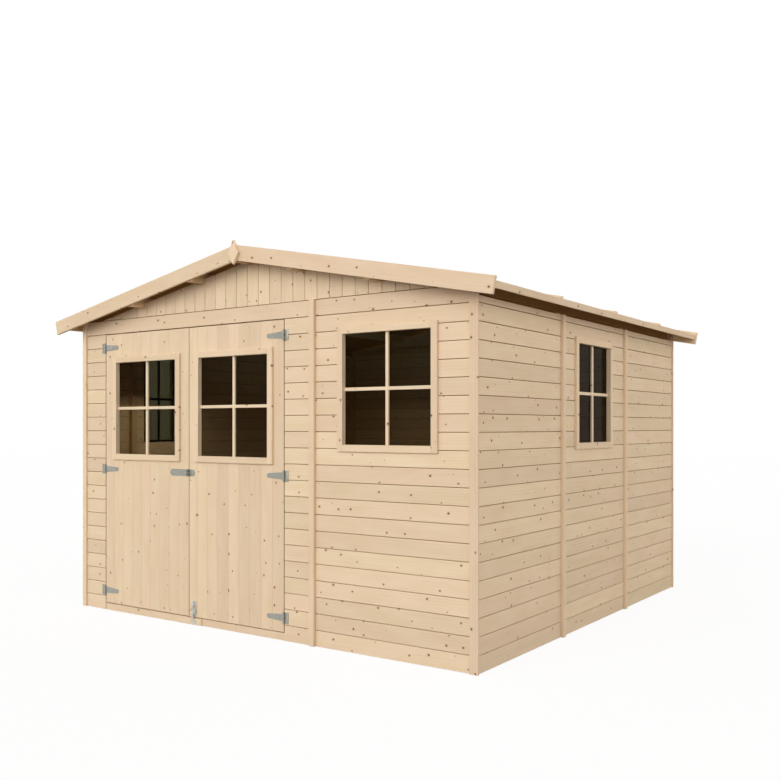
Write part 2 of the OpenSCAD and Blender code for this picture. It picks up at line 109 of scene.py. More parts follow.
# Sockets of a Mix node that mixes colours
FACTOR, COLOUR_A, COLOUR_B, COLOUR_OUT = 0, 6, 7, 2
# Colours of the stain round a knot, of the knot itself, and of the brown that paints dust and shade deep in
# the joints and paints shade on the roof's underside and the side plates
STAIN, KNOT, DUST_AND_SHADE = "#bd9364", "#6e4a2a", "#a87d45"


def planed_spruce(name, yellow, pink, ring, knot_share=0.6):
    """Planed bare spruce, dull and pale: boards that lean to yellow or to pink, faint growth rings
    along each board, small dark knots with a stain round them, and dust with painted shade deep in the
    joints."""
    material, tree = bare_material(name)
    grain = add(tree, "Attribute", attribute_name="grain").outputs["Vector"]
    tone = add(tree, "Attribute", attribute_name="tone").outputs["Vector"]
    tone = add(tree, "SeparateXYZ", {0: tone}).outputs

    # Streaks of early and late wood, drawn coarser than the 1 to 3 mm of real rings so that they show
    streak_run, streak_w = 420 * MM, 9 * MM
    streak_scale = (1 / streak_run, 1 / streak_w, 1 / streak_w)
    streak_place = add(tree, "Mapping", {"Vector": grain, "Scale": streak_scale}).outputs[0]
    streak = add(tree, "TexNoise", {"Vector": streak_place, "Scale": 1.0, "Detail": 3.0,
                                    "Roughness": 0.6, "Distortion": 0.3}).outputs[0]
    streak = add(tree, "MapRange", {"Value": streak, "From Min": 0.35, "From Max": 0.75}).outputs[0]

    # Wavy rings that break the streaks up. A Wave node takes its scale times 20 as an angle
    ring_run, ring_w = 300 * MM, 16 * MM
    ring_scale = (1 / ring_run, 1 / ring_w, 1 / ring_w)
    ring_place = add(tree, "Mapping", {"Vector": grain, "Scale": ring_scale}).outputs[0]
    one_ring = 2 * math.pi / 20
    flame = add(tree, "TexWave", {"Vector": ring_place, "Scale": one_ring, "Distortion": 7.0,
                                  "Detail": 1.5, "Detail Scale": 0.7},
                wave_type="BANDS", bands_direction="Y", wave_profile="SIN").outputs[1]
    rings = add(tree, "Math", {0: streak, 1: flame}, operation="MULTIPLY").outputs[0]

    # Knots of 3 to 11 mm, about fifty to the square metre, with a stain out to 2.6 times their radius
    knot_cell, smallest, largest, stretch = 95 * MM, 1.5 * MM, 5.5 * MM, 0.8
    core_in, core_out, stain_out, stain_depth = 0.7, 1.1, 2.6, 0.3
    knot_scale = (stretch / knot_cell, 1 / knot_cell, 0)
    knot_place = add(tree, "Mapping", {"Vector": grain, "Scale": knot_scale}).outputs[0]
    knot = add(tree, "TexVoronoi", {"Vector": knot_place, "Scale": 1.0},
               voronoi_dimensions="2D", feature="F1").outputs
    chance = add(tree, "SeparateColor", {0: knot["Color"]}).outputs
    present = add(tree, "Math", {0: chance[0], 1: knot_share}, operation="LESS_THAN").outputs[0]
    radius = add(tree, "MapRange", {"Value": chance[1], "To Min": smallest / knot_cell,
                                    "To Max": largest / knot_cell}).outputs[0]
    reach = add(tree, "Math", {0: knot["Distance"], 1: radius}, operation="DIVIDE").outputs[0]
    core = add(tree, "MapRange", {"Value": reach, "From Min": core_out, "From Max": core_in}).outputs[0]
    core = add(tree, "Math", {0: core, 1: present}, operation="MULTIPLY").outputs[0]
    stain = add(tree, "MapRange", {"Value": reach, "From Min": stain_out, "From Max": 1.0,
                                   "To Max": stain_depth}, interpolation_type="SMOOTHSTEP").outputs[0]
    stain = add(tree, "Math", {0: stain, 1: present}, operation="MULTIPLY").outputs[0]

    # Each board's own hue, then clouds and rings, the board's own shade, and stains, knots, and dust with
    # painted shade
    ring_depth, cloud_depth, darkest, palest = 0.26, 0.22, 0.94, 1.04
    cloud_run, cloud_w = 260 * MM, 70 * MM
    cloud_scale = (1 / cloud_run, 1 / cloud_w, 1 / cloud_w)
    cloud_place = add(tree, "Mapping", {"Vector": grain, "Scale": cloud_scale}).outputs[0]
    cloud = add(tree, "TexNoise", {"Vector": cloud_place, "Scale": 1.0, "Detail": 2.0}).outputs[0]
    cloud = add(tree, "MapRange", {"Value": cloud, "From Min": 0.35, "From Max": 0.7,
                                   "To Max": cloud_depth}).outputs[0]
    figure = add(tree, "Math", {0: rings, 1: ring_depth, 2: cloud}, operation="MULTIPLY_ADD").outputs[0]
    shade = add(tree, "MapRange", {"Value": tone["X"], "To Min": darkest, "To Max": palest}).outputs[0]
    colour = add(tree, "Mix", {FACTOR: tone["Y"], COLOUR_A: linear(yellow), COLOUR_B: linear(pink)},
                 data_type="RGBA").outputs[COLOUR_OUT]
    colour = add(tree, "Mix", {FACTOR: figure, COLOUR_A: colour, COLOUR_B: linear(ring)},
                 data_type="RGBA").outputs[COLOUR_OUT]
    colour = add(tree, "HueSaturation", {"Color": colour, "Value": shade}).outputs[0]
    # The tone's third value paints dust and shade in the joints, and shade on undersides and side plates
    for share, paint in ((stain, STAIN), (core, KNOT), (tone["Z"], DUST_AND_SHADE)):
        colour = add(tree, "Mix", {FACTOR: share, COLOUR_A: colour, COLOUR_B: linear(paint)},
                     data_type="RGBA").outputs[COLOUR_OUT]

    # Late wood stands slightly proud of the planed face, and knots lie below it
    relief = 0.4 * MM
    height = add(tree, "Math", {0: rings, 1: core}, operation="SUBTRACT").outputs[0]
    bump = add(tree, "Bump", {"Height": height, "Strength": 0.25, "Distance": relief}).outputs[0]
    shader = add(tree, "BsdfPrincipled", {"Base Color": colour, "Roughness": 0.8,
                                          "Specular IOR Level": 0.0, "Normal": bump}).outputs[0]
    add(tree, "OutputMaterial", {"Surface": shader})
    return material


def grained(bm):
    """Makes room in a mesh for each vertex's place in the grain and for the tone of its board."""
    bm.verts.layers.float_vector.new("grain")
    bm.verts.layers.float_vector.new("tone")
    return bm


def mark_grain(bm, verts, along, across, shift=0.0):
    """Gives the vertices of one board their place in its own grain, and the board its own tone. The
    third value of the tone paints dust and shade in joints, and shade on undersides. A shift moves the
    board up the log."""
    grain, tone = (bm.verts.layers.float_vector[name] for name in ("grain", "tone"))
    through = along.cross(across)
    start = Vector([rng.uniform(0, LOG_SPAN) for _ in range(3)]) + shift * X_AXIS
    own_tone = Vector((rng.random(), rng.random(), 0))
    for v in verts:
        v[grain] = start + Vector((v.co.dot(along), v.co.dot(across), v.co.dot(through)))
        v[tone] = own_tone


def whole_faces(node):
    """A merged copy of a frame node's mesh, with its triangles joined to whole flat faces."""
    bm = bmesh.new()
    bm.from_mesh(frame["nodes"][node].data)
    grained(bm)
    bmesh.ops.remove_doubles(bm, verts=bm.verts, dist=CLOSE)
    bmesh.ops.dissolve_limit(bm, angle_limit=FLAT, verts=bm.verts, edges=bm.edges)
    return bm


def solids(bm):
    """The vertices of each separate solid."""
    bm.verts.index_update()
    left = set(bm.verts)
    while left:
        found, to_visit = set(), [min(left, key=lambda v: v.index)]
        while to_visit:
            v = to_visit.pop()
            if v not in found:
                found.add(v)
                to_visit.extend(e.other_vert(v) for e in v.link_edges)
        left -= found
        yield sorted(found, key=lambda v: v.index)


def extent(verts, way):
    """How far a solid reaches in a direction."""
    places = [v.co.dot(way) for v in verts]
    return max(places) - min(places)


def ease(bm, edges, width):
    """Rounds edges off with a small bevel."""
    bmesh.ops.bevel(bm, geom=list(edges), offset=width, offset_type="OFFSET", affect="EDGES",
                    segments=2, profile=0.5, material=-1, clamp_overlap=True)


def planed(node, along=None, shift=0.0):
    """The boards of a frame node with eased edges, grain along them and knots on the broad face."""
    bm = whole_faces(node)
    ease(bm, bm.edges, EASED_EDGE)
    for verts in solids(bm):
        edges = sorted({e for v in verts for e in v.link_edges}, key=lambda e: e.index)
        longest = max(edges, key=lambda e: e.calc_length())
        length_way = along or (longest.verts[1].co - longest.verts[0].co).normalized()
        side_way = Y_AXIS if abs(length_way.y) < 0.5 else X_AXIS
        across = length_way.cross(side_way).normalized()
        broad_way = max((across, length_way.cross(across)), key=lambda way: extent(verts, way))
        mark_grain(bm, verts, length_way, broad_way, shift)
    return bm


def dress(name, bm, material, *nodes, body=None, slot=None):
    """Makes the object of a finished piece, which stands for its frame nodes and rides on their body."""
    mesh = bpy.data.meshes.new(name)
    bm.to_mesh(mesh)
    bm.free()
    mesh.materials.append(material)
    piece = bpy.data.objects.new(name, mesh)
    scene.collection.objects.link(piece)
    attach(piece, body or frame["nodes"][nodes[0]]["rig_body"])
    slot or SLOTS[nodes[0]]
    if nodes:
        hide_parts(*nodes)


TRIM_COLOURS = ("#edd7b7", "#ebd1b5", "#d6b589")
floor_spruce = planed_spruce("planed_spruce_floor", "#dcc197", "#d6b48f", "#bb9562")
dress("bearers", planed("floor_bearers"), floor_spruce, "floor_bearers")
trim_spruce = planed_spruce("planed_spruce_trim", *TRIM_COLOURS)
dress("sill", planed("door_sill"), trim_spruce, "door_sill")
dress("kick_board_planed", planed("kick_board"), trim_spruce, "kick_board")

# Floor boards
# Tongued and grooved spruce boards, 16 mm thick, nailed across the bearers. The tongue of each board
# sits in the groove of the next, and the joints are tight.
FLOOR_COVER = 90 * MM
FLOOR_VEE = 0.6 * MM
# Wood deeper than this in a joint is painted with dust and shade, and on the roof boards' underside wood
# shallower than this is painted with shade
DUST_AND_SHADE_DEPTH = 4 * MM
ON_SAW_LINE = 0.001 * MM


def tongued_outline(cover, thick, vee, slot=0):
    """Cross-section of a tongued and grooved board, as points across it and down from its face.
    The face edges are chamfered by vee, and a slot is left between the faces of two boards."""
    tongue_l, tongue_t, play = 5 * MM, 5 * MM, 0.2 * MM
    low, high = (thick - tongue_t) / 2, (thick + tongue_t) / 2
    edge = cover - slot
    return [(vee, 0), (edge - vee, 0), (edge, vee), (edge, low), (cover + tongue_l, low),
            (cover + tongue_l, high), (cover, high), (cover, thick), (0, thick), (0, high + play),
            (tongue_l + play, high + play), (tongue_l + play, low - play), (0, low - play), (0, vee)]


def board(outline, length):
    """One board: its cross-section extruded along X, with depth from its face along Y and across along
    Z. Deep in its joints it is painted darker, for dust and for the shade there."""
    bm = grained(bmesh.new())
    end = bm.faces.new([bm.verts.new((0, depth, across)) for across, depth in outline])
    grown = bmesh.ops.extrude_face_region(bm, geom=[end])["geom"]
    far = [v for v in grown if isinstance(v, bmesh.types.BMVert)]
    bmesh.ops.translate(bm, verts=far, vec=(length, 0, 0))
    bmesh.ops.recalc_face_normals(bm, faces=bm.faces)
    mark_grain(bm, bm.verts, X_AXIS, Z_AXIS)
    tone = bm.verts.layers.float_vector["tone"]
    back = max(v.co.y for v in bm.verts)
    # Deep in the joints the wood is painted darker, for dust and for the shade there
    for v in bm.verts:
        v[tone].z = DUST_AND_SHADE_DEPTH < v.co.y < back
    return bm


def saw(bm, cuts):
    """Saws a board along planes, each given by a point and the direction of what falls off."""
    for point, off in cuts:
        geom = list(bm.verts) + list(bm.edges) + list(bm.faces)
        cut = bmesh.ops.bisect_plane(bm, geom=geom, dist=ON_SAW_LINE, plane_co=point, plane_no=off,
                                     clear_outer=True)
        rim = [e for e in cut["geom_cut"] if isinstance(e, bmesh.types.BMEdge)]
        if rim:
            bmesh.ops.holes_fill(bm, edges=rim)
    return bm


def lay(piece, part):
    """Adds a finished board to the mesh of its piece."""
    mesh = bpy.data.meshes.new("board")
    part.to_mesh(mesh)
    part.free()
    piece.from_mesh(mesh)
    bpy.data.meshes.remove(mesh)


def boxes(node):
    """The lowest and highest corners of each solid in a frame node."""
    bm = whole_faces(node)
    found = []
    for verts in solids(bm):
        places = list(zip(*(v.co for v in verts)))
        found.append((Vector(map(min, places)), Vector(map(max, places))))
    bm.free()
    return found


floor = bmesh.new()
lo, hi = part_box("floor_boards")
sill_lo, sill_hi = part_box("door_sill")
floor_outline = tongued_outline(FLOOR_COVER, hi.z - lo.z, FLOOR_VEE)
# The face is up, so depth runs down and the boards are laid from the front to the back
face_up = Matrix.Rotation(-math.pi / 2, 4, "X")
for row in range(math.ceil((hi.y - lo.y) / FLOOR_COVER)):
    front = lo.y + row * FLOOR_COVER
    # The first boards stop at both ends of the sill, and one is ripped to lie along its back
    spans = [(lo.x, hi.x)] if front >= sill_hi.y else [(lo.x, sill_lo.x), (sill_hi.x, hi.x)]
    if front < sill_hi.y < front + FLOOR_COVER:
        spans.append((sill_lo.x, sill_hi.x))
    for start, stop in spans:
        strip = board(floor_outline, stop - start)
        strip.transform(Matrix.Translation((start, front, hi.z)) @ face_up)
        cuts = [((0, hi.y, 0), Y_AXIS)]
        if start == sill_lo.x:
            cuts.append(((0, sill_hi.y, 0), -Y_AXIS))
        lay(floor, saw(strip, cuts))
dress("floor_tongued_boards", floor, floor_spruce, "floor_boards")

# Wall frame
# Planed studs at the corners, panel joints and door jambs, with plates along the tops of the walls. They
# show inside, through the panes and the open doors. The side plates are painted browner and darker as
# shade.
# How far the brown of painted shade goes on the side plates and on the roof boards' underside
PAINTED_SHADE = 0.85


def paint_shade(bm):
    """Paints a whole piece browner and darker, as shade."""
    tone = bm.verts.layers.float_vector["tone"]
    for v in bm.verts:
        v[tone].z = PAINTED_SHADE
    return bm


frame_spruce = planed_spruce("planed_spruce_frame", "#e2c8a0", "#dcbd98", "#c6a170")
dress("studs", planed("wall_studs"), frame_spruce, "wall_studs")
# The side plates, seen in the gap under the eaves, are painted darker as shade
dress("side_top_plates", paint_shade(planed("side_plates")), frame_spruce, "side_plates")
dress("end_top_plates", planed("end_plates"), frame_spruce, "end_plates")

# Clapboard walls
# Horizontal spruce boards with a cover of 90 mm, rebated at the foot and coved at the head, so that
# each board laps the one below and leaves a dark slit over the cove. They are nailed to the studs.
BOARD_COVER = 90 * MM
EAVE_GAP = 40 * MM
LINING_T = 8 * MM
# The record's openings are smaller than the real ones by this much all round
REVEAL_MARGIN = 5 * MM
# What the saw leaves with fewer faces than these is no solid
FEWEST_FACES = 4
wall_spruce = planed_spruce("planed_spruce_cladding", "#edd7b7", "#ebd2b6", "#d7b78b")
front_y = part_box("front_wall_header")[0].y
right_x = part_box("right_wall_window")[1].x
back_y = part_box("back_wall")[1].y
# In a wall's own axes X runs to the right seen from outside, and the face of the cladding is at Y 0
WALLS = {
    "front": Matrix.Translation((0, front_y, 0)),
    "right": Matrix.Translation((right_x, 0, 0)) @ Matrix.Rotation(math.pi / 2, 4, "Z"),
    "back": Matrix.Translation((0, back_y, 0)) @ Matrix.Rotation(math.pi, 4, "Z"),
    "left": Matrix.Translation((-right_x, 0, 0)) @ Matrix.Rotation(-math.pi / 2, 4, "Z"),
}


def on_wall(wall, lo, hi):
    """A box in a wall's own axes, as its lowest and highest corners."""
    a, b = (WALLS[wall].inverted() @ corner for corner in (lo, hi))
    return Vector(map(min, a, b)), Vector(map(max, a, b))


def window_opening(name, wall):
    """The opening of a window in its wall's own axes, from the frame's record."""
    openings = frame["record"]["physics"]["openings"]
    corners = next(opening["box_m"] for opening in openings if opening["name"] == name)
    lo, hi = on_wall(wall, *map(Vector, corners))
    return ((lo.x - REVEAL_MARGIN, hi.x + REVEAL_MARGIN), (lo.z - REVEAL_MARGIN, hi.z + REVEAL_MARGIN))


def lined(opening):
    """The hole in the boards that a window and the lining round it need."""
    return tuple((low - LINING_T, high + LINING_T) for low, high in opening)


def lapped_outline(cover, thick):
    """Cross-section of a clapboard, as points across it and down from its face."""
    eased, lip_t, lap, play = 1.2 * MM, 10 * MM, 5 * MM, 1 * MM
    cove_h, cove_d, steps = 6 * MM, 3.5 * MM, 4
    slit, back_slit = 3.2 * MM, 3 * MM
    head = cover - slit
    turns = [step * math.pi / 2 / steps for step in range(steps + 1)]
    cove = [(head - cove_h + cove_h * math.sin(turn), cove_d * (1 - math.cos(turn))) for turn in turns]
    return ([(0, eased), (eased, 0)] + cove +
            [(head, lip_t + play), (cover + lap, lip_t + play), (cover + lap, thick),
             (lap + back_slit, thick), (lap + back_slit, lip_t), (0, lip_t)])


def around(bm, opening):
    """The parts of a board that an opening leaves: at both sides of it, under it and over it."""
    (x0, x1), (z0, z1) = opening
    xs = [v.co.x for v in bm.verts]
    zs = [v.co.z for v in bm.verts]
    if min(xs) >= x1 or max(xs) <= x0 or min(zs) >= z1 or max(zs) <= z0:
        return [bm]
    left_of, right_of = ((x0, 0, 0), X_AXIS), ((x1, 0, 0), -X_AXIS)
    between = [((x0, 0, 0), -X_AXIS), ((x1, 0, 0), X_AXIS)]
    under, over = ((0, 0, z0), Z_AXIS), ((0, 0, z1), -Z_AXIS)
    plans = [[left_of], [right_of], between + [under], between + [over]]
    parts = [saw(bm.copy(), plan) for plan in plans]
    bm.free()
    return [part for part in parts if len(part.faces) >= FEWEST_FACES]


def clapboards(node, wall, openings=()):
    """A wall panel of clapboards in place of a frame node's slab. The top board of a side wall is
    ripped narrower, which leaves a dark gap under the eaves."""
    piece = bmesh.new()
    gap = EAVE_GAP if wall in ("left", "right") else 0
    for box_lo, box_hi in boxes(node):
        lo, hi = on_wall(wall, box_lo, box_hi)
        outline = lapped_outline(BOARD_COVER, hi.y - lo.y)
        for row in range(round((hi.z - lo.z) / BOARD_COVER)):
            strip = board(outline, hi.x - lo.x)
            strip.transform(Matrix.Translation((lo.x, 0, lo.z + row * BOARD_COVER)))
            parts = [saw(strip, [((0, 0, hi.z - gap), Z_AXIS)])]
            for opening in openings:
                parts = [p for part in parts for p in around(part, opening)]
            for part in parts:
                part.transform(WALLS[wall])
                lay(piece, part)
    return piece


front_window = window_opening("front_window_reveal", "front")
right_window = window_opening("right_window_reveal", "right")
left_window = window_opening("left_window_reveal", "left")
for node, wall, openings in (
        ("front_wall_beside_door", "front", []), ("front_wall_header", "front", []),
        ("front_wall_window", "front", [lined(front_window)]), ("right_wall_plain", "right", []),
        ("right_wall_window", "right", [lined(right_window)]), ("left_wall_plain", "left", []),
        ("left_wall_window", "left", [lined(left_window)]), ("back_wall", "back", [])):
    dress(node + "_clapboards", clapboards(node, wall, openings), wall_spruce, node)

# Gables
# Upright tongued boards with V joints, cut to the slope of the roof and notched over the purlins. They
# stand on the top clapboard, and end short of the roof boards as the side walls do.
UPRIGHT_COVER = 86.5 * MM
GABLE_JOINT_X = -18 * MM
VEE = 2 * MM
GABLE_SLOT = 2 * MM
GABLE_GAP = 32 * MM


def roof_slope():
    """The pitch of the right slope, from the broad upper face of its boards."""
    faces = frame["nodes"]["roof_deck_right"].data.polygons
    top = max((f for f in faces if f.normal.z > 0.5), key=lambda f: f.area)
    return math.atan2(top.normal.x, top.normal.z)


def upright_boards(piece, lo, hi, first_edge, vee, slot, openings=(), cuts=()):
    """Upright tongued boards in a wall's own axes, laid from first_edge to the left between lo and hi."""
    outline = tongued_outline(UPRIGHT_COVER, hi.y - lo.y, vee, slot)
    upright = Matrix.Rotation(-math.pi / 2, 4, "Y")
    ends = [((lo.x, 0, 0), -X_AXIS), ((hi.x, 0, 0), X_AXIS)]
    edge = first_edge
    while edge > lo.x:
        strip = board(outline, hi.z - lo.z)
        strip.transform(Matrix.Translation((edge, 0, lo.z)) @ upright)
        parts = [saw(strip, ends + list(cuts))]
        for opening in openings:
            parts = [p for part in parts if part.faces for p in around(part, opening)]
        for part in parts:
            lay(piece, part)
        edge -= UPRIGHT_COVER
    return piece


pitch = roof_slope()
gable_lo, gable_hi = on_wall("front", *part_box("front_gable"))
ridge = (0, 0, gable_hi.z - GABLE_GAP)
slopes = [(ridge, (side * math.sin(pitch), 0, math.cos(pitch))) for side in (-1, 1)]
joints_right = math.ceil((gable_hi.x - GABLE_JOINT_X) / UPRIGHT_COVER)
first_joint = GABLE_JOINT_X + UPRIGHT_COVER * joints_right
# A notch is open at the top, so its hole goes on far over the gable
notch_top = gable_hi.z + 1
notches = [((lo.x, hi.x), (lo.z, notch_top)) for lo, hi in boxes("purlins")]
for node, wall in (("front_gable", "front"), ("back_gable", "back")):
    gable = upright_boards(bmesh.new(), gable_lo, gable_hi, first_joint, VEE, GABLE_SLOT, notches, slopes)
    gable.transform(WALLS[wall])
    dress(node + "_boards", gable, wall_spruce, node)

# Corner trims and cover battens
# Planed boards nailed over the corners of the walls and over the joints of the panels. Those on the side
# walls end with the cladding, under the eaves.
dress("corner_boards", planed("corner_trims"), trim_spruce, "corner_trims")
battens = planed("cover_battens")
side_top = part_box("right_wall_plain")[1].z
batten_tops = [v for v in battens.verts
               if abs(v.co.x) > right_x - EASED_EDGE and v.co.z > side_top - EAVE_GAP]
bmesh.ops.translate(battens, verts=batten_tops, vec=-EAVE_GAP * Z_AXIS)
# Battens are ripped from clear wood, with hardly any knots
batten_spruce = planed_spruce("planed_spruce_battens", *TRIM_COLOURS, knot_share=0.05)
dress("joint_battens", battens, batten_spruce, "cover_battens")

# Window frames, bars and panes of the walls
# Four planed boards nailed round each opening, upright ones at full height, a thin lining in its
# depth, and a cross of thin bars in front of the pane. The doors have the same windows.
BAR_W = 18 * MM
BAR_T = 12 * MM
PANE_DEPTH = 16 * MM
left_leaf_window = window_opening("left_door_window_reveal", "front")
right_leaf_window = window_opening("right_door_window_reveal", "front")
frame_lo, frame_hi = on_wall("front", *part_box("left_door_window_frame"))
FRAME_T = frame_hi.y - frame_lo.y
FRAME_W = frame_hi.z - left_leaf_window[1][1]


def plank(piece, lo, hi, along, across):
    """Adds one eased board to a piece, from its lowest to its highest corner."""
    lo, hi = Vector(lo), Vector(hi)
    made = grained(bmesh.new())
    bmesh.ops.create_cube(made, size=1)
    bmesh.ops.scale(made, verts=made.verts, vec=hi - lo)
    bmesh.ops.translate(made, verts=made.verts, vec=(lo + hi) / 2)
    ease(made, made.edges, EASED_EDGE)
    mark_grain(made, made.verts, along, across)
    lay(piece, made)


def frame_boards(piece, opening, frame_w, front, back):
    """Four boards round a window opening, in the wall's own axes, between two depths."""
    (x0, x1), (z0, z1) = opening
    for x in (x0 - frame_w, x1):
        plank(piece, (x, front, z0 - frame_w), (x + frame_w, back, z1 + frame_w), Z_AXIS, X_AXIS)
    for z in (z0 - frame_w, z1):
        plank(piece, (x0, front, z), (x1, back, z + frame_w), X_AXIS, Z_AXIS)


def window_frame(piece, opening):
    """The frame boards on the face of the wall and the lining behind them."""
    frame_boards(piece, opening, FRAME_W, -FRAME_T, 0)
    frame_boards(piece, opening, LINING_T, 0, PANE_DEPTH)


def window_bars(piece, opening):
    """The cross of bars in front of a pane: one upright through, and two short level ones."""
    (x0, x1), (z0, z1) = opening
    front, back = PANE_DEPTH - BAR_T, PANE_DEPTH
    mid_x, mid_z = (x0 + x1) / 2, (z0 + z1) / 2
    bar_x0, bar_x1 = mid_x - BAR_W / 2, mid_x + BAR_W / 2
    plank(piece, (bar_x0, front, z0), (bar_x1, back, z1), Z_AXIS, X_AXIS)
    for start, stop in ((x0, bar_x0), (bar_x1, x1)):
        plank(piece, (start, front, mid_z - BAR_W / 2), (stop, back, mid_z + BAR_W / 2), X_AXIS, Z_AXIS)


def fitted(wall, make, opening):
    """The frame or the bars of a window, made in its wall's own axes and then put on the wall."""
    made = bmesh.new()
    make(made, opening)
    made.transform(WALLS[wall])
    return made


def bronze_glass(name):
    """Thin float glass tinted bronze. Over the dim inside it looks dark brown, and it mirrors little."""
    material, tree = bare_material(name)
    shader = add(tree, "BsdfPrincipled", {"Base Color": linear("#797663"), "Roughness": 0.0, "IOR": 1.06,
                                          "Transmission Weight": 1.0}).outputs[0]
    add(tree, "OutputMaterial", {"Surface": shader})
    return material


wall_frames, wall_bars = bmesh.new(), bmesh.new()
for wall, opening in (("front", front_window), ("right", right_window), ("left", left_window)):
    lay(wall_frames, fitted(wall, window_frame, opening))
    lay(wall_bars, fitted(wall, window_bars, opening))
bar_spruce = planed_spruce("planed_spruce_bars", "#f0dcbc", "#eed8bc", "#e0c398")
dress("window_frame_boards", wall_frames, trim_spruce, "window_frames")
dress("window_bars", wall_bars, bar_spruce, body="shed", slot="trim")
glass = bronze_glass("bronze_float_glass")
for node in ("window_glass", "left_door_glass", "right_door_glass"):
    frame["nodes"][node].data.materials.clear()
    frame["nodes"][node].data.materials.append(glass)

# Purlins and roof boards
# Purlins run from gable to gable, and tongued boards run down each slope across them, mitred at the
# ridge. Their V joints are on the underside, which is painted browner and darker as shade.
RIDGE_LAP = 10 * MM
roof_spruce = planed_spruce("planed_spruce_roof", "#e0c598", "#dcbd94", "#c49e6a")
dress("purlins_planed", planed("purlins"), frame_spruce, "purlins")
deck_lo, deck_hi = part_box("roof_deck_right")
deck_corners = [v.co for v in frame["nodes"]["roof_deck_right"].data.vertices]
ridge_heights = [corner.z for corner in deck_corners if abs(corner.x) < CLOSE]
under_ridge = min(ridge_heights)
deck_t = (max(ridge_heights) - under_ridge) * math.cos(pitch)
deck_len = (under_ridge - deck_lo.z) / math.sin(pitch)
right_slope = Matrix.Translation((0, 0, under_ridge)) @ Matrix.Rotation(pitch, 4, "Y")
face_down = Matrix.Rotation(math.pi / 2, 4, "X")
roof_rows = round((deck_hi.y - deck_lo.y) / BOARD_COVER)
roof_cover = (deck_hi.y - deck_lo.y) / roof_rows
deck_outline = tongued_outline(roof_cover, deck_t, VEE)
# Boards are laid from the back to the front. They start past the ridge, where they are sawn off
row_ends = [((0, 0, 0), -X_AXIS), ((0, deck_lo.y, 0), -Y_AXIS)]
half_turn = Matrix.Rotation(math.pi, 4, "Z")
for node, turn in (("roof_deck_right", Matrix.Identity(4)), ("roof_deck_left", half_turn)):
    deck = bmesh.new()
    for row in range(roof_rows):
        strip = board(deck_outline, deck_len + RIDGE_LAP)
        # The underside face of each roof board is painted browner and darker as shade
        tone = strip.verts.layers.float_vector["tone"]
        for v in strip.verts:
            v[tone].z = max(v[tone].z, PAINTED_SHADE * (v.co.y < DUST_AND_SHADE_DEPTH))
        row_start = Matrix.Translation((-RIDGE_LAP, deck_hi.y - row * roof_cover, 0))
        strip.transform(right_slope @ row_start @ face_down)
        saw(strip, row_ends)
        strip.transform(turn)
        lay(deck, strip)
    dress(node + "_boards", deck, roof_spruce, node)

# Roof battens, eave strips, barge boards and finials
# Planed boards: battens down the slopes over the joints of the roof panels, strips that close the
# eaves, barge boards along the gable ends and a kite-shaped finial over each meeting of them.
dress("roof_batten_strips", planed("roof_battens"), batten_spruce, "roof_battens")
dress("eave_boards", planed("eave_strips"), trim_spruce, "eave_strips")
# The left barge boards come from this many metres further up the log, where it has few knots
BARGE_SHIFT = 1.4
dress("left_barges", planed("barge_boards_left", shift=BARGE_SHIFT), trim_spruce, "barge_boards_left")
dress("right_barges", planed("barge_boards_right"), trim_spruce, "barge_boards_right")
dress("gable_finials", planed("finials", along=Z_AXIS), trim_spruce, "finials")

# Doors
# Each leaf is upright tongued boards nailed to three ledges on the back, with a glazed window in a
# frame of planed boards. Their joints are tight and only slightly chamfered.
LEAF_VEE = 1.2 * MM
LEAF_SLOT = 0.4 * MM
for side, opening in (("left", left_leaf_window), ("right", right_leaf_window)):
    door = side + "_door"
    lo, hi = on_wall("front", *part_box(door + "_boards"))
    leaf = upright_boards(bmesh.new(), lo, hi, hi.x, LEAF_VEE, LEAF_SLOT, [lined(opening)])
    leaf.transform(WALLS["front"])
    dress(side + "_leaf", leaf, wall_spruce, door + "_boards")
    dress(side + "_leaf_ledges", planed(door + "_ledges"), frame_spruce, door + "_ledges")
    dress(side + "_leaf_window_frame", fitted("front", window_frame, opening), trim_spruce,
          door + "_window_frame", body=door, slot="trim")
    dress(side + "_leaf_window_bars", fitted("front", window_bars, opening), bar_spruce,
          body=door, slot="trim")

# Hinges, padlock plates and foot bolt
# Stamped and rolled steel, zinc plated, screwed to the boards with pan-head screws. The bolt's zinc is
# a paler copy of the same plating, painted light.
METAL_EDGE = 0.5 * MM
SHARP = math.radians(30)
PLATE_T = 2 * MM
SCREW_R, SCREW_TOP_R, SCREW_RIM = 3.8 * MM, 2.47 * MM, 0.95 * MM
SCREW_H, SCREW_RECESS = 1.8 * MM, 0.9 * MM
SCREW_SIDES = 12


def zinc_plate(name, dull, bright):
    """Bright zinc plating: a pale grey metal, half dull, with a faint cloudy mottle."""
    material, tree = bare_material(name)
    place = add(tree, "TexCoord").outputs["Object"]
    mottle_size = 14 * MM
    mottle = add(tree, "TexNoise", {"Vector": place, "Scale": 1 / mottle_size, "Detail": 3.0}).outputs[0]
    colour = add(tree, "Mix", {FACTOR: mottle, COLOUR_A: linear(dull), COLOUR_B: linear(bright)},
                 data_type="RGBA").outputs[COLOUR_OUT]
    rough = add(tree, "MapRange", {"Value": mottle, "To Min": 0.3, "To Max": 0.45}).outputs[0]
    shader = add(tree, "BsdfPrincipled", {"Base Color": colour, "Metallic": 1.0,
                                          "Roughness": rough}).outputs[0]
    add(tree, "OutputMaterial", {"Surface": shader})
    return material


def eased_metal(node):
    """The metal of a frame node with its sharp edges eased and its round faces smooth."""
    bm = whole_faces(node)
    ease(bm, [e for e in bm.edges if e.is_manifold and e.calc_face_angle() > SHARP], METAL_EDGE)
    for face in bm.faces:
        face.smooth = True
    for e in bm.edges:
        e.smooth = e.is_manifold and e.calc_face_angle() < SHARP
    return bm


